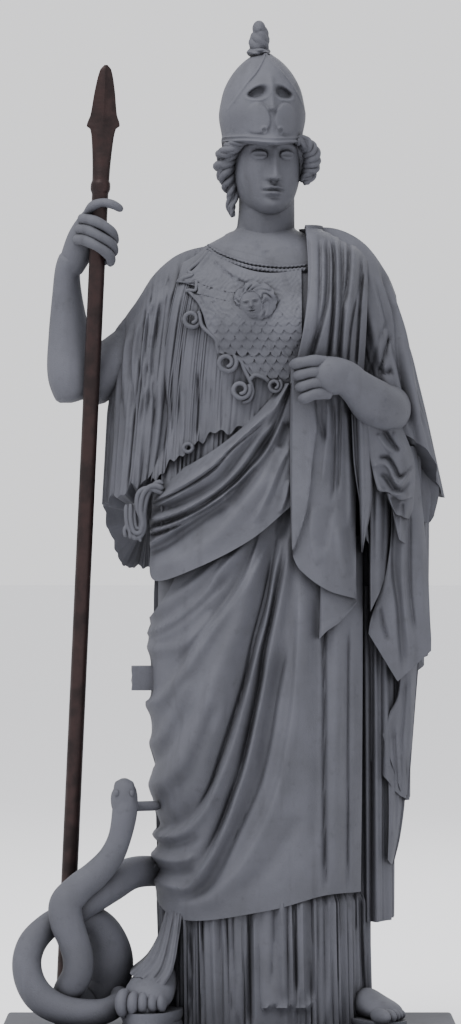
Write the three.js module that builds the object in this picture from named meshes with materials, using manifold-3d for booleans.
// A standing stone figure of a helmeted goddess in a cloak, with a snake rearing beside her. She holds a spear
// in her raised right hand, and the whole stands on a low plinth. +Z is up, and she looks along -Y.
import * as THREE from 'three';
import { mergeVertices } from 'three/addons/utils/BufferGeometryUtils.js';
import Module from 'manifold-3d';

// Driving dimensions, in millimetres.
const FIGURE_HEIGHT = 2150;
const PLINTH_HEIGHT = 100;
const PLINTH_MARGIN = 25;
const PLINTH_CHAMFER = 8;
const SHAFT_DIAMETER = 35;
const BLADE_WIDTH = 70;
const BLADE_THICKNESS = 24;
const GRIP_CLEARANCE = 1;

// The figure is drawn in parts of its height, 1004 from the plinth to the top of the crest. x is measured from
// the pit of the neck, y from the middle of the body with the front negative, and z from the top of the plinth.
const GRID = 1004;
const part = FIGURE_HEIGHT / GRID;

const wasm = await Module();
wasm.setup();

const STONE = new THREE.MeshStandardMaterial({ color: 0x6d6f78, roughness: 0.75, metalness: 0 });
const BASE_STONE = new THREE.MeshStandardMaterial({ color: 0x66686f, roughness: 0.8, metalness: 0 });
const DARK_BRONZE = new THREE.MeshStandardMaterial({ color: 0x33241f, roughness: 0.5, metalness: 0.6 });

const clamp = (value, low = 0, high = 1) => Math.min(high, Math.max(low, value));
const blend = (a, b, t) => a + (b - a) * t;
const ease = (t) => clamp(t) ** 2 * (3 - 2 * clamp(t));
const bell = (distance, width) => Math.exp(-((distance / width) ** 2));

// Smooth values through rows of [key, value, value, ...], held beyond the first and last row.
function through(rows, key) {
  if (key <= rows[0][0]) return rows[0].slice(1);
  if (key >= rows.at(-1)[0]) return rows.at(-1).slice(1);
  const next = rows.findIndex((row) => row[0] > key);
  const [a, b, c, d] = [-2, -1, 0, 1].map((step) => rows[clamp(next + step, 0, rows.length - 1)]);
  const span = c[0] - b[0];
  const t = (key - b[0]) / span;
  return b.slice(1).map((_, i) => {
    const k = i + 1;
    const out = ((c[k] - a[k]) / (c[0] - a[0])) * span;
    const into = ((d[k] - b[k]) / (d[0] - b[0])) * span;
    return b[k] * (2 * t ** 3 - 3 * t ** 2 + 1) + out * (t ** 3 - 2 * t ** 2 + t)
      + c[k] * (3 * t ** 2 - 2 * t ** 3) + into * (t ** 3 - t ** 2);
  });
}

// Turns a closed three.js geometry into a solid after moving each vertex to place(vertex).
function moulded(geometry, place = (p) => p) {
  geometry.deleteAttribute('normal');
  geometry.deleteAttribute('uv');
  const merged = mergeVertices(geometry, 1e-3);
  const points = merged.attributes.position;
  const p = new THREE.Vector3();
  for (let i = 0; i < points.count; i++) {
    const { x, y, z } = place(p.fromBufferAttribute(points, i));
    points.setXYZ(i, x, y, z);
  }
  const triVerts = new Uint32Array(merged.index.array);
  if (volume(points, triVerts) < 0) triVerts.reverse();
  return new wasm.Manifold(new wasm.Mesh({ numProp: 3, vertProperties: points.array, triVerts }));
}

function volume(points, triangles) {
  const corners = [0, 1, 2].map(() => new THREE.Vector3());
  let total = 0;
  for (let i = 0; i < triangles.length; i += 3) {
    corners.forEach((corner, n) => corner.fromBufferAttribute(points, triangles[i + n]));
    total += corners[0].dot(corners[1].cross(corners[2]));
  }
  return total;
}

const join = (solids) => solids.reduce((sum, next) => sum.add(next));

// A closed skin of rings: place(angle, t) is the point at an angle round the ring, and t runs from the first
// ring to the last. Both ends are closed from the ring's middle.
function skin(sides, rings, place) {
  const ringMiddle = (t) => {
    const sum = new THREE.Vector3();
    for (let i = 0; i < sides; i++) sum.add(place((i / sides) * 2 * Math.PI, t));
    return sum.divideScalar(sides);
  };
  return moulded(new THREE.CylinderGeometry(1, 1, 1, sides, rings), (p) => {
    const t = clamp(p.y + 0.5);
    return Math.hypot(p.x, p.z) < 0.5 ? ringMiddle(t) : place(Math.atan2(p.z, p.x), t);
  });
}

// A round limb along smooth points [x, y, z, radius]. flat is the share of the radius kept in y, and bumps is a
// share of the radius added along it.
function limb(points, { sides = 10, steps = 10, flat = 1, bumps = () => 0 } = {}) {
  const stops = points.map(([x, y, z]) => new THREE.Vector3(x, y, z));
  const path = new THREE.CatmullRomCurve3(stops, false, 'centripetal');
  const radii = points.map((point, i) => [i / (points.length - 1), point[3]]);
  const frames = path.computeFrenetFrames(steps, false);
  return skin(sides, steps, (angle, t) => {
    const i = Math.round(t * steps);
    const key = path.getUtoTmapping(t);
    const end = Math.min(t, 1 - t) < 1e-6 ? 0.55 : 1;
    const radius = through(radii, key)[0] * end * (1 + bumps(t, angle));
    const offset = frames.normals[i].clone().multiplyScalar(Math.cos(angle) * radius)
      .addScaledVector(frames.binormals[i], Math.sin(angle) * radius);
    offset.y *= flat;
    return path.getPointAt(t).add(offset);
  });
}

function ball(x, y, z, wide, deep, tall, sides = 10, rings = 6) {
  return moulded(new THREE.SphereGeometry(1, sides, rings), (p) => new THREE.Vector3(
    x + p.x * wide, y + p.z * deep, z + p.y * tall));
}

// The body under the cloth, as rows of [z, middle x, half width, middle y, half depth].
const BODY = [
  [0, -1, 98, 0, 70],
  [110, -3, 102, 0, 74],
  [200, -5, 104, 0, 76],
  [300, -6, 106, 0, 78],
  [400, -6, 107, 1, 78],
  [470, -6, 105, 2, 75],
  [540, -4, 94, 0, 67],
  [600, -2, 84, -2, 60],
  [660, 0, 88, -4, 62],
  [710, 0, 94, -4, 62],
  [740, -1, 96, -1, 54],
  [760, 0, 90, 2, 45],
  [774, 0, 78, 4, 38],
  [785, -1, 56, 4, 33],
  [796, -2, 34, 4, 29],
];
const BODY_SQUARENESS = 2.4;
const BREAST = { x: 35, z: 700, wide: 21, tall: 27, out: 9 };
const KNEE = { x: -62, z: 300, wide: 40, tall: 95, out: 16 };

// The point of the body's front (side -1) or back (side 1) that is seen at x and z, raised by out.
function onBody(x, z, out, side = -1) {
  const [middle, halfWidth, middleY, halfDepth] = through(BODY, z);
  const wide = halfWidth + out;
  const across = clamp((x - middle) / wide, -1, 1);
  const depth = (halfDepth + out) * (1 - Math.abs(across) ** BODY_SQUARENESS) ** (1 / BODY_SQUARENESS);
  const breast = BREAST.out * bell(Math.abs(x) - BREAST.x, BREAST.wide) * bell(z - BREAST.z, BREAST.tall);
  const knee = KNEE.out * bell(x - KNEE.x, KNEE.wide) * bell(z - KNEE.z, KNEE.tall);
  const swell = side < 0 ? (breast + knee) * (1 - across ** 4) : 0;
  return new THREE.Vector3(middle + across * wide, middleY + side * (depth + swell), z);
}

// The ring of the body at z, raised by out.
function roundBody(angle, z, out) {
  const [middle, halfWidth, middleY, halfDepth] = through(BODY, z);
  const squared = (v) => Math.sign(v) * Math.abs(v) ** (2 / BODY_SQUARENESS);
  const x = middle + (halfWidth + out) * squared(Math.cos(angle));
  const y = middleY + (halfDepth + out) * squared(Math.sin(angle));
  return new THREE.Vector3(x, y, z);
}

// The hidden side of a piece of cloth lies this far beyond the body's middle.
const BEHIND = 6;

// A piece of cloth drawn by guide lines that run down it: [place across, x and z at the top, x and z of the
// turn, x and z at the foot, lift off the body]. It follows the body's front or back. folds are rows of [place
// across where the fold begins, how far it stands out], each with a crease on both sides. top is the share of a
// fold's height that it already has at the upper edge.
function cloth({ guides, folds, side = -1, columns = 3, rows = 6, top = 0 }) {
  return moulded(new THREE.BoxGeometry(1, 1, 1, columns * folds.length, 1, rows), (p) => {
    const column = (p.x + 0.5) * folds.length;
    const fold = Math.min(folds.length - 1, Math.floor(column + 1e-6));
    const t = clamp(column - fold);
    const [start, height] = folds[fold];
    const c = blend(start, folds[fold + 1] ? folds[fold + 1][0] : 1, t);
    const v = 0.5 - p.z;
    const [x0, z0, x1, z1, x2, z2, lift] = through(guides, c);
    const along = (a, b, e) => (1 - v) ** 2 * a + 2 * v * (1 - v) * b + v ** 2 * e;
    const swell = blend(top, 1, ease((v + 0.15) / 0.4));
    const out = lift + height * Math.sin(Math.PI * t) ** 0.75 * swell;
    const place = onBody(along(x0, x1, x2), along(z0, z1, z2), out, side);
    if (p.y > 0) place.y = through(BODY, place.z)[2] - side * BEHIND;
    return place;
  });
}

// Loose cloth off the body: a closed fall with pleats between a ring at the top and a ring at the foot.
function fall({ top, foot, pleats, depth, sides, rings }) {
  return skin(sides, rings, (angle, t) => {
    const start = top(angle);
    const middle = top(0).add(top(Math.PI)).multiplyScalar(0.5);
    const out = depth * (ease(t / 0.35) * Math.abs(Math.cos((pleats * angle) / 2)) ** 0.8 - 0.5);
    const rounding = Math.sqrt(clamp(0.12 + t * 5));
    const place = start.clone().lerp(foot(angle), t);
    place.y = blend(middle.y, place.y, rounding);
    return place.addScaledVector(new THREE.Vector3(Math.cos(angle), Math.sin(angle), 0), out * rounding);
  });
}

// The long under-dress below the cloak: upright pleats of uneven width all round.
const HEM = { pleats: 25, depth: 10, top: 150, flare: 5 };
function underDress() {
  return skin(HEM.pleats * 3, 1, (angle, t) => {
    const unevenness = 0.35 * Math.sin(3 * angle + 1) + 0.2 * Math.sin(7 * angle);
    const count = (HEM.pleats * angle) / (2 * Math.PI) + unevenness;
    const out = 4 + HEM.flare * (1 - t) ** 2 + HEM.depth * (Math.abs(Math.cos(Math.PI * count)) - 0.6);
    return roundBody(angle, t * HEM.top, out);
  });
}

// The solid body that all the cloth lies on.
const core = () => skin(14, 9, (angle, t) => roundBody(angle, blend(90, 796, t), -3));

// The cloak's front: long folds fan out from the hip below her left hand, and hook round the bent knee.
const cloakFront = () => cloth({
  guides: [
    [0, 94, 490, 94, 306, 92, 138, 4],
    [0.18, 62, 490, 59, 286, 54, 136, 4],
    [0.34, 42, 500, 20, 266, -6, 121, 4],
    [0.48, 28, 515, 7, 236, -90, 112, 4],
    [0.6, 14, 520, -10, 176, -119, 146, 4],
    [0.7, 0, 520, -33, 196, -122, 188, 4],
    [0.8, -14, 515, -56, 286, -122, 254, 4],
    [0.9, -34, 505, -68, 361, -122, 326, 4],
    [1, -72, 490, -98, 430, -122, 404, 4],
  ],
  folds: [
    [0, 10], [0.17, 9], [0.25, 14], [0.41, 8], [0.49, 13],
    [0.58, 13], [0.69, 11], [0.76, 11], [0.87, 7], [0.94, 5],
  ],
  rows: 7,
});

// The cloak's upper edge, folded down over the hips like an apron, with thick rolls along its top.
const apron = () => cloth({
  guides: [
    [0, 28, 640, 27, 580, 22, 519, 9],
    [0.2, 26, 640, 18, 556, -18, 486, 12],
    [0.4, 24, 640, -4, 532, -72, 458, 13],
    [0.55, 23, 640, -20, 518, -120, 446, 13],
    [0.7, 22, 640, -28, 526, -124, 478, 16],
    [0.85, 20, 640, -34, 540, -124, 508, 20],
    [1, 14, 640, -40, 568, -120, 544, 12],
  ],
  folds: [[0, 5], [0.2, 4], [0.4, 7], [0.57, 10], [0.68, 10], [0.77, 13], [0.87, 12]],
  rows: 6,
  top: 0.4,
});

// The cloak's back: it comes over the left shoulder and crosses the back to the right hip.
const cloakBack = () => cloth({
  guides: [
    [0, 124, 740, 124, 500, 120, 112, 6],
    [0.2, 95, 768, 78, 500, 66, 110, 6],
    [0.4, 74, 780, 20, 520, 6, 108, 6],
    [0.6, 58, 788, -28, 570, -62, 108, 6],
    [0.75, 48, 792, -52, 610, -124, 118, 6],
    [0.88, 40, 794, -52, 680, -124, 330, 6],
    [1, 30, 794, -40, 730, -122, 520, 6],
  ],
  folds: [[0, 12], [0.13, 15], [0.28, 10], [0.4, 15], [0.56, 12], [0.7, 13], [0.85, 9]],
  side: 1,
  columns: 2,
  rows: 5,
});

// The part of the cloak that comes over the left shoulder and runs down to the left hand.
const shoulderFront = () => cloth({
  guides: [
    [0, 37, 799, 46, 715, 21, 640, 16],
    [0.35, 60, 799, 62, 715, 44, 640, 16],
    [0.7, 80, 794, 80, 715, 72, 640, 16],
    [1, 99, 784, 100, 715, 94, 640, 13],
  ],
  folds: [[0, 12], [0.3, 8], [0.44, 9], [0.56, 8], [0.68, 11], [0.88, 7]],
  rows: 3,
  top: 0.8,
});

// Below the hand it hangs on to a slanting hem, with a corner of its inner edge under that.
const hangingFront = () => cloth({
  guides: [
    [0, 22, 655, 20, 560, 23, 480, 16],
    [0.3, 42, 655, 44, 560, 34, 456, 17],
    [0.7, 66, 655, 64, 540, 58, 436, 17],
    [1, 92, 655, 88, 540, 90, 428, 14],
  ],
  folds: [[0, 5], [0.32, 8], [0.48, 8], [0.62, 9], [0.8, 8]],
  columns: 2,
  rows: 4,
  top: 0.8,
});
const cornerFlap = () => join([
  cloth({
    guides: [
      [0, 38, 460, 40, 420, 49, 388, 9],
      [0.5, 62, 450, 62, 425, 60, 405, 10],
      [1, 88, 440, 89, 434, 88, 426, 9],
    ],
    folds: [[0, 6], [0.4, 5]],
    columns: 2,
    rows: 2,
  }),
  ball(50, onBody(50, 384, 12).y, 382, 4, 4, 6, 6, 4),
]);

// The dress over the chest in fine upright pleats. Its overfold ends at the waist above a second layer.
const bodice = () => cloth({
  guides: [
    [0, -92, 766, -90, 660, -86, 556, 7],
    [0.5, -40, 786, -38, 690, -36, 594, 7],
    [1, 42, 790, 40, 700, 20, 604, 7],
  ],
  folds: [[0, 8], [0.14, 6], [0.25, 8], [0.4, 6], [0.52, 7], [0.66, 6], [0.82, 6]],
  columns: 2,
  rows: 3,
});
const bodiceBack = () => cloth({
  guides: [
    [0, -92, 766, -90, 660, -100, 470, 2],
    [0.5, -20, 786, -20, 640, -24, 480, 2],
    [1, 60, 786, 50, 700, 40, 520, 2],
  ],
  folds: [[0, 8], [0.18, 7], [0.36, 8], [0.54, 6], [0.76, 6]],
  side: 1,
  columns: 2,
  rows: 2,
});
const secondLayer = () => cloth({
  guides: [
    [0, -100, 600, -104, 560, -104, 500, 3],
    [0.5, -50, 610, -52, 570, -54, 520, 3],
    [1, 16, 620, 14, 600, 10, 560, 3],
  ],
  folds: [[0, 6], [0.12, 5], [0.26, 6], [0.4, 5], [0.52, 6], [0.66, 5], [0.8, 5]],
  columns: 2,
  rows: 2,
});

// The wide sleeve that hangs from the raised right arm, lower behind than in front.
function sleeve() {
  const top = (angle) => {
    const x = -103 + 57 * Math.cos(angle);
    const along = clamp((-46 - x) / 114);
    return new THREE.Vector3(x, 38 * Math.sin(angle), 690 + 94 * (1 - along ** 1.6) ** (1 / 1.6));
  };
  const foot = (angle) => {
    const behind = ease(Math.sin(angle) + 0.4);
    return new THREE.Vector3(
      blend(-124, -118, behind) + blend(42, 30, behind) * Math.cos(angle),
      2 + 52 * Math.sin(angle),
      544 + 24 * Math.cos(angle) * (1 - behind) - 78 * behind);
  };
  return fall({ top, foot, pleats: 18, depth: 8, sides: 36, rings: 2 });
}

// The cloak over the left arm: its front edge ends at the elbow, and a corner hangs lower behind it.
function armFall() {
  const arc = [[30, 797], [67, 797], [97, 782], [119, 754], [131, 728]];
  const top = (angle) => {
    const x = 80 + 50 * Math.cos(angle);
    return new THREE.Vector3(x, 2 + 36 * Math.sin(angle), through(arc, x)[0]);
  };
  const foot = (angle) => new THREE.Vector3(
    133 + 41 * Math.cos(angle),
    8 + 48 * Math.sin(angle),
    550 - 22 * Math.cos(angle) + 42 * ease(-Math.sin(angle)));
  return fall({ top, foot, pleats: 8, depth: 9, sides: 24, rings: 3 });
}

// The rest of the cloak hangs free down her left side in three layers, the outer ones shorter. hem holds rows
// of [angle, z], from behind the thigh over the front and the outer side to the back.
const SIDE_LAYERS = [
  { x: 104, wide: 23, deep: 43, top: 280, hem: [[-180, 112], [-90, 106], [0, 108], [180, 112]] },
  { x: 112, wide: 31, deep: 47, top: 420, hem: [[-180, 300], [-120, 282], [-30, 216], [60, 244], [180, 260]] },
  {
    x: 122,
    wide: 39,
    deep: 49,
    top: 596,
    hem: [[-180, 392], [-130, 388], [-75, 338], [-5, 372], [90, 330], [180, 350]],
  },
];
function sideFall() {
  return join(SIDE_LAYERS.map(({ x, wide, deep, top, hem }) => skin(20, 3, (angle, t) => {
    const out = 7 * (Math.abs(Math.cos(5 * angle + 0.4)) - 0.9);
    const z = blend(through(hem, THREE.MathUtils.radToDeg(angle))[0], top, t);
    return new THREE.Vector3(x + (wide + out) * Math.cos(angle), 12 + (deep + out) * Math.sin(angle), z);
  })));
}

// A narrow leaf of cloth beside the panel that the hand holds: [z, x of its left and right edge].
const LEAF = [[643, 86, 97], [590, 88, 101], [530, 90, 103], [474, 92, 93]];
const leaf = () => moulded(new THREE.BoxGeometry(1, 1, 1, 2, 1, 3), (p) => {
  const [z, left, right] = LEAF[Math.round((0.5 - p.z) * (LEAF.length - 1))];
  return new THREE.Vector3(blend(left, right, p.x + 0.5), p.y > 0 ? -20 : -66 - 5 * Math.cos(p.x * Math.PI), z);
});

// A loop of the cloak's edge at the right hip, and the ruffle under the left elbow.
function gathers() {
  const hip = limb([
    [-96, -62, 541, 6], [-112, -62, 540, 6], [-126, -58, 528, 6], [-127, -56, 508, 6], [-132, -54, 496, 6],
    [-138, -46, 506, 6], [-140, -38, 524, 6],
  ], { sides: 4, steps: 7 });
  const elbow = [0, 1, 2].map((n) => limb([
    [102 + 12 * n, -44, 590, 5],
    [108 + 12 * n, -56, 560, 7],
    [116 + 11 * n, -58, 532 + 4 * n, 9],
    [126 + 9 * n, -44, 516 + 6 * n, 5],
  ], { sides: 4, steps: 3 }));
  return join([hip, ...elbow]);
}

// The scaly breastplate of hide with its curling edge, and the mask in its middle.
const AEGIS = {
  curls: [[-75, 708], [-44, 662], [-25, 638], [6, 640]],
  // Rows of [share of the way down, x and z of the left edge, z of the right edge].
  edge: [
    [0, -56, 778, 758], [0.3, -78, 738, 730], [0.55, -72, 704, 704], [0.8, -44, 664, 672], [1, -20, 638, 640],
  ],
  right: 32,
  mask: { x: -13, z: 720, radius: 17 },
};
function aegis() {
  const plate = moulded(new THREE.BoxGeometry(1, 1, 1, 4, 1, 9), (p) => {
    const [u, v] = [p.x + 0.5, 0.5 - p.z];
    const [left, leftZ, rightZ] = through(AEGIS.edge, v);
    const scallop = 8 * Math.abs(Math.sin(v * 5 * Math.PI)) * (1 - u) ** 2;
    const sag = 16 * Math.sin(Math.PI * u) * (1 - v);
    const place = onBody(blend(left + scallop, AEGIS.right, u), blend(leftZ, rightZ, u) - sag, 15);
    if (p.y > 0) place.y += 16;
    return place;
  });
  const curls = AEGIS.curls.map(([x, z]) => {
    const y = onBody(x, z, 15).y;
    return limb([0, 0.25, 0.5, 0.75, 1, 1.2].map((s) => {
      const [angle, radius] = [0.8 - s * 2 * Math.PI, 8 - 4 * s];
      return [x + radius * Math.cos(angle), y - 2 - 2 * s, z + radius * Math.sin(angle), 3.6 - s];
    }), { sides: 4, steps: 5 });
  });
  const { x, z, radius } = AEGIS.mask;
  const y = onBody(x, z, 15).y;
  const mask = [
    ball(x, y, z, radius, 7, radius * 1.05, 8, 5),
    ball(x, y - 6, z - 1, 3, 4, 6, 4, 3),
  ];
  return join([plate, ...curls, ...mask]);
}

// A hand's finger through points [x, y, z], thinner at its tip.
const finger = (points, radius) => limb(
  points.map((p, i) => [...p, radius * (1 - (0.2 * i) / (points.length - 1))]), { sides: 5, steps: 4 });

// The spear leans a little out and back. It is given by its place at the plinth and its slope, in parts.
const SPEAR = { x: -205, y: 0, slopeX: 0.0471, slopeY: -0.0625, top: 955, bladeFoot: 874 };
const spearAt = (z) => new THREE.Vector3(SPEAR.x + SPEAR.slopeX * z, SPEAR.y + SPEAR.slopeY * z, z);
const shaftRadius = SHAFT_DIAMETER / 2 / part;

// The raised right arm, bare from the elbow, and its hand round the spear.
function rightArm() {
  const grip = spearAt(790);
  const upper = limb([[-92, 4, 706, 28], [-140, 0, 672, 26], [-172, -4, 648, 26], [-188, -8, 634, 25]],
    { sides: 7, steps: 3 });
  const fore = limb([
    [-186, -8, 626, 24], [-194, -10, 652, 26], [-198, -12, 690, 21], [-201, -18, 730, 15],
    [-201, -26, 756, 12.5], [-195, -32, 772, 13],
  ], { sides: 8, steps: 5, flat: 0.95 });
  const palm = limb([
    [-200, -26, 752, 12], [-194, -32, 772, 15], [-186, -36, 792, 16], [-176, -40, 812, 13], [-168, -46, 824, 7],
  ], { sides: 6, steps: 4, flat: 0.75 });
  const wrap = shaftRadius + 4.2;
  const fingers = [0, 1, 2].map((n) => {
    const at = spearAt(799 - 11.5 * n);
    return finger([
      [at.x - wrap - 7, grip.y + 6, at.z + 3],
      [at.x - wrap + 2, at.y - wrap + 1, at.z + 3],
      [at.x + 4, at.y - wrap - 2, at.z],
      [at.x + wrap + 2, at.y - wrap + 7, at.z - 5],
      [at.x + wrap - 1, at.y + 2, at.z - 8],
    ], 6.4);
  });
  const pointing = finger([
    [-178, grip.y + 4, 812], [-170, grip.y - 6, 825], [-160, grip.y - 10, 826], [-146, grip.y - 6, 818],
  ], 5.2);
  const thumb = finger([
    [-188, grip.y + 10, 784], [-176, grip.y + 16, 776], [-164, grip.y + 8, 766], [-162, grip.y - 2, 762],
  ], 5.5);
  return join([upper, fore, palm, ...fingers, pointing, thumb]);
}

// The left arm, bent across the body, with its hand closed on the edge of the cloak.
function leftArm() {
  const upper = limb([[104, 4, 722, 30], [112, -8, 676, 29], [117, -26, 632, 28]], { sides: 6, steps: 2 });
  const fore = limb([
    [120, -24, 616, 25], [113, -50, 615, 26], [100, -72, 625, 23], [86, -84, 637, 18], [72, -90, 645, 16],
  ], { sides: 8, steps: 4 });
  const palm = limb([
    [86, -85, 644, 13], [70, -92, 648, 18], [56, -95, 647, 19], [44, -93, 645, 14],
  ], { sides: 6, steps: 3, flat: 0.7 });
  const fingers = [0, 1, 2, 3].map((n) => {
    const z = 660 - 10 * n;
    return finger([
      [58 + n, -95, z],
      [44 + n, -103, z + 1 - n * 0.5],
      [30 + 2.6 * n, -102, z - 1 - n],
      [23 + 3 * n, -92, z - 3 - n],
    ], 6.6);
  });
  return join([upper, fore, palm, ...fingers]);
}

// The head, in its own frame: the origin in the middle of the skull, the face towards -y.
const HEAD = { x: -1, y: -10, z: 866, turn: 0.2, nod: 0.04 };
// Rows of [z, half width, front, back].
const SKULL = [
  [-55, 6, 26, -8],
  [-52, 13, 31, -2],
  [-45, 20, 34, 10],
  [-35, 26, 35, 20],
  [-20, 31, 36, 30],
  [-5, 33, 36, 35],
  [10, 33, 36, 38],
  [30, 32, 32, 38],
  [45, 22, 22, 26],
];
// The levels at which the face changes: chin, mouth, tip of the nose, eyes, brow.
const LEVELS = [-55, -51, -44, -37, -32, -28, -23, -19, -8, 1, 6, 13, 24];
function faceRelief(x, z) {
  const nose = bell(x, 3.5 + 3.5 * ease((0 - z) / 16)) * (3 + 8 * ease((10 - z) / 26)) * ease((z + 22) / 4)
    * ease((24 - z) / 8);
  const sockets = -4.5 * bell(Math.abs(x) - 14, 7) * bell(z - 4, 6);
  const eyes = 3 * bell(Math.abs(x) - 15, 6) * bell(z - 3, 3.5);
  const lips = 3.5 * bell(x, 9) * (bell(z + 28, 2.4) + bell(z + 33, 2.4));
  const chin = 3 * bell(x, 9) * bell(z + 48, 6);
  return nose + sockets + eyes + lips + chin;
}
function skull() {
  return skin(16, LEVELS.length - 1, (angle, t) => {
    const z = LEVELS[Math.round(t * (LEVELS.length - 1))];
    const [halfWidth, front, back] = through(SKULL, z);
    // More of the ring's points go to the face than to the back of the head.
    const turned = angle - 0.45 * Math.cos(angle);
    const x = halfWidth * Math.cos(turned);
    const facing = -Math.sin(turned);
    return new THREE.Vector3(x, facing > 0 ? -facing * (front + faceRelief(x, z)) : -facing * back, z);
  });
}

// The helmet is pushed back on the head, and its rim comes lower at the nape. Rows of [z, half width, front,
// back].
const NAPE_DROP = 26;
const HELMET = [
  [-10, 35, 46, 47],
  [16, 43, 46, 54],
  [24, 42, 43, 56],
  [42, 43, 43, 57],
  [58, 41, 41, 55],
  [72, 37, 37, 50],
  [86, 29, 30, 41],
  [97, 19, 20, 27],
  [105, 8, 8, 10],
];
function helmet() {
  const [low, high] = [HELMET[0][0] + NAPE_DROP, HELMET.at(-1)[0]];
  const dome = skin(16, 7, (angle, t) => {
    const z = blend(low - NAPE_DROP * ease(1.3 * Math.sin(angle)), high, t);
    const [halfWidth, front, back] = through(HELMET, z);
    const peak = 4 * bell(Math.cos(angle), 0.35) * clamp((60 - z) / 44);
    const deep = Math.sin(angle) < 0 ? front + peak : back;
    return new THREE.Vector3(halfWidth * Math.cos(angle), deep * Math.sin(angle), z);
  });
  const eyeHoles = [-1, 1].map((side) => ball(side * 14, -42, 69, 10, 9, 6, 6, 3));
  const nosePiece = limb([[0, -36, 78, 3], [0, -43, 62, 4], [0, -46, 50, 3]], { sides: 4, steps: 2 });
  const cheeks = [-1, 1].map((side) => ball(side * 15, -39, 42, 11, 8, 14, 6, 3));
  const crest = [
    ball(-2, 2, 106, 12, 16, 6, 6, 3),
    ball(-3, 6, 117, 9, 13, 14, 6, 4),
    ball(-3, -3, 131, 6, 7, 7, 6, 3),
  ];
  return join([dome.subtract(join(eyeHoles)), nosePiece, ...cheeks, ...crest]);
}

// Locks of hair that come out under the helmet beside the face and down the nape.
function hair() {
  const wavy = (t, angle) => 0.14 * Math.sin(t * 22) + 0.1 * Math.sin(3 * angle + t * 9);
  const lock = (points, steps) => limb(points, { sides: 5, steps, bumps: wavy });
  return join([
    lock([
      [-14, -36, 20, 4], [-30, -27, 17, 8], [-39, -10, 8, 12], [-42, 0, -10, 11], [-38, 2, -26, 9],
      [-34, 3, -42, 6], [-31, 3, -53, 3],
    ], 7),
    lock([[14, -36, 20, 4], [30, -27, 17, 8], [40, -10, 8, 12], [42, -4, -8, 11], [36, -2, -19, 7]], 5),
    lock([[0, 30, 0, 20], [0, 32, -26, 17], [0, 34, -52, 13], [0, 38, -78, 10], [0, 42, -104, 5]], 5),
  ]);
}

function head() {
  const place = new THREE.Matrix4().makeRotationFromEuler(new THREE.Euler(HEAD.nod, 0, HEAD.turn, 'ZXY'))
    .setPosition(HEAD.x, HEAD.y, HEAD.z);
  const neck = limb([[-2, 6, 762, 36], [-2, 3, 790, 30], [-1, -2, 815, 27], [-1, -3, 846, 27]],
    { sides: 8, steps: 2 });
  return join([join([skull(), helmet(), hair()]).transform(place.elements), neck]);
}

// A foot in a thick-soled sandal, from the heel towards the toes at an angle from the front.
function foot(heelX, heelY, turn, length) {
  const upper = skin(7, 4, (angle, t) => {
    const tall = blend(34, 13, ease(t * 1.1)) * Math.sqrt(clamp(1.02 - (t - 0.5) ** 4 * 14));
    const wide = blend(13, 19, ease(t * 1.3)) * Math.sqrt(clamp(1.04 - t ** 6));
    return new THREE.Vector3(wide * Math.cos(angle), -t * length, 9 + tall * (0.5 + 0.5 * Math.sin(angle)));
  });
  const toes = [-1.7, -0.2, 1.4].map((n) => ball(
    n * 8, -length + 2 + Math.abs(n + 1) * 3, 16, 6.5, 9, 7, 4, 2));
  const sole = skin(7, 1, (angle, t) => new THREE.Vector3(
    22 * Math.cos(angle), -length / 2 - (length / 2 + 6) * Math.sin(angle), -4 + 14 * t));
  return join([upper, ...toes, sole]).transform(
    new THREE.Matrix4().makeRotationZ(turn).setPosition(heelX, heelY, 0).elements);
}

function feet() {
  const hemOverFoot = limb([[-84, -10, 118, 14], [-98, -26, 84, 17], [-112, -34, 56, 17], [-122, -38, 40, 12]],
    { sides: 6, steps: 3 });
  return join([foot(-104, -42, -0.62, 80), foot(88, -36, 0.6, 62), hemOverFoot]);
}

// The snake as points [x, y, z, radius]: head and raised neck, a ring in front, then up behind the cloak's hem,
// round the ankle and into a tight loop behind the ring.
const SNAKE = [
  [-143, -62, 243, 8], [-143, -65, 233, 12], [-143, -68, 214, 12.5], [-148, -66, 190, 11],
  [-154, -64, 170, 12], [-170, -66, 150, 14], [-189, -72, 134, 15], [-192, -76, 114, 15],
  [-184, -77, 90, 15.5], [-182, -77, 60, 15.5], [-195, -77, 28, 15.5], [-216, -77, 18, 16],
  [-234, -76, 34, 15.5], [-240, -74, 64, 15.5], [-234, -72, 88, 15.5], [-218, -66, 108, 15.5],
  [-196, -56, 126, 15.5], [-168, -42, 145, 15.5], [-140, -26, 155, 15.5], [-118, 0, 152, 15],
  [-108, 24, 112, 15], [-114, 26, 56, 16], [-136, 6, 20, 17], [-164, -18, 18, 17],
  [-186, -34, 44, 17], [-188, -42, 84, 17], [-172, -44, 112, 17], [-154, -44, 92, 17],
  [-153, -44, 54, 16], [-166, -46, 26, 13], [-186, -48, 14, 8],
];
const snake = () => limb(SNAKE, { sides: 6, steps: 46 });

// Short bars of stone left by the carver: from the snake's head to the cloak, and a broken one on the thigh.
const bars = () => join([
  limb([[-146, -58, 222, 5], [-128, -42, 222, 5], [-106, -34, 222, 5]], { sides: 6, steps: 2 }),
  moulded(new THREE.BoxGeometry(30, 24, 24), (p) => p.add(new THREE.Vector3(-120, -12, 348))),
]);

const spearChannel = moulded(new THREE.CylinderGeometry(1, 1, 1, 12, 1), (p) => {
  const at = spearAt((p.y + 0.5) * (SPEAR.top + 40) - 20);
  const radius = shaftRadius + GRIP_CLEARANCE / part;
  return at.add(new THREE.Vector3(p.x * radius, p.z * radius, 0));
});

const floor = moulded(new THREE.BoxGeometry(900, 900, 200), (p) => p.setZ(p.z - 100));

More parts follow.
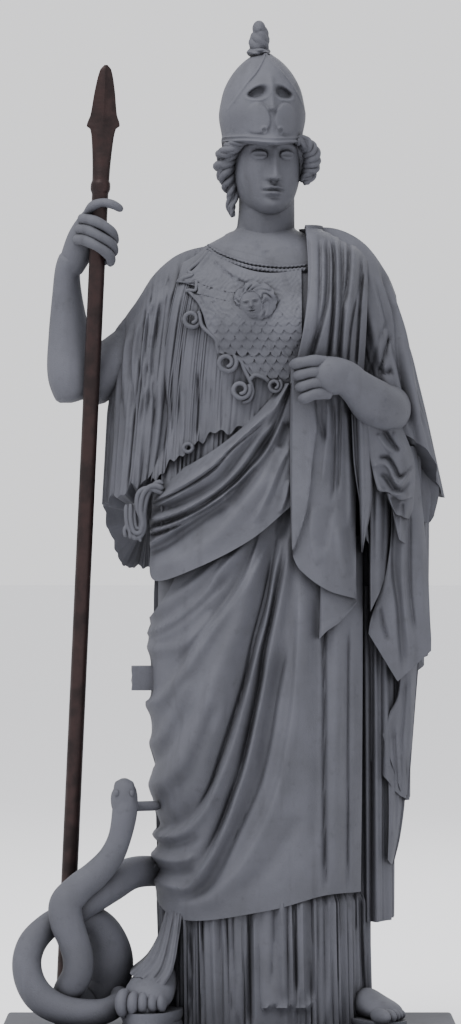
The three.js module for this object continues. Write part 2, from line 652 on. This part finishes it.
const carving = join([
  core(), underDress(), cloakFront(), cloakBack(), apron(), shoulderFront(), hangingFront(), cornerFlap(),
  bodice(), bodiceBack(), secondLayer(), sleeve(), armFall(), sideFall(), leaf(), gathers(), aegis(),
  rightArm(), leftArm(), head(), feet(), snake(), bars(),
]).subtract(spearChannel).subtract(floor);

function geometryOf(solid) {
  const { vertProperties, triVerts } = solid.getMesh();
  return new THREE.BufferGeometry()
    .setAttribute('position', new THREE.BufferAttribute(new Float32Array(vertProperties), 3))
    .setIndex(new THREE.BufferAttribute(new Uint32Array(triVerts), 1));
}

function named(name, geometry, material) {
  const mesh = new THREE.Mesh(geometry, material);
  mesh.name = name;
  return mesh;
}

// A solid brought from parts to millimetres, with the figure's middle over the plinth's. The pockets that cloth
// closes off inside it are filled: of its skins, only the outer one is kept.
const extent = carving.boundingBox();
const middle = [0, 1].map((axis) => (extent.min[axis] + extent.max[axis]) / 2);
function inMillimetres(solid) {
  const scaled = geometryOf(solid).translate(-middle[0], -middle[1], 0).scale(part, part, part);
  const skins = moulded(scaled).decompose();
  return geometryOf(skins.reduce((a, b) => (b.volume() > a.volume() ? b : a)));
}

function plinth() {
  const [x, y] = [0, 1].map((axis) => (
    ((extent.max[axis] - extent.min[axis]) / 2) * part + PLINTH_MARGIN - PLINTH_CHAMFER));
  const corners = [[-x, -y], [x, -y], [x, y], [-x, y]];
  const shape = new THREE.Shape(corners.map((corner) => new THREE.Vector2(...corner)));
  const block = new THREE.ExtrudeGeometry(shape, {
    depth: PLINTH_HEIGHT - 2 * PLINTH_CHAMFER,
    bevelThickness: PLINTH_CHAMFER,
    bevelSize: PLINTH_CHAMFER,
    bevelSegments: 1,
  }).translate(0, 0, PLINTH_CHAMFER);
  return geometryOf(moulded(block));
}

// The spear: a round shaft with a ring below the socket of a leaf-shaped blade. COLLAR holds rows of [z below
// the blade's foot, share of the shaft's radius], and BLADE rows of [share of the blade's length from its foot,
// share of its half width, share of its half thickness].
const COLLAR = [[46, 1], [42, 1.18], [36, 1.18], [32, 1.04]];
const BLADE = [
  [0, 0.62, 0.75],
  [0.22, 0.78, 0.8],
  [0.26, 1, 0.8],
  [0.4, 0.8, 1],
  [0.7, 0.6, 0.8],
  [0.94, 0.34, 0.5],
  [1, 0.1, 0.2],
];
function spear() {
  const rows = [
    [0, shaftRadius, shaftRadius],
    ...COLLAR.map(([below, share]) => [SPEAR.bladeFoot - below, shaftRadius * share, shaftRadius * share]),
    ...BLADE.map(([along, wide, thick]) => [
      blend(SPEAR.bladeFoot, SPEAR.top, along),
      (BLADE_WIDTH / 2 / part) * wide,
      (BLADE_THICKNESS / 2 / part) * thick,
    ]),
  ];
  return skin(12, rows.length - 1, (angle, t) => {
    const [z, wide, thick] = rows[Math.round(t * (rows.length - 1))];
    return spearAt(z).add(new THREE.Vector3(wide * Math.cos(angle), thick * Math.sin(angle), 0));
  });
}

const statue = new THREE.Group();
statue.add(named('plinth', plinth(), BASE_STONE));
const standing = new THREE.Group();
standing.position.z = PLINTH_HEIGHT;
standing.add(named('figure', inMillimetres(carving), STONE));
standing.add(named('spear', inMillimetres(spear()), DARK_BRONZE));
statue.add(standing);

export default statue;
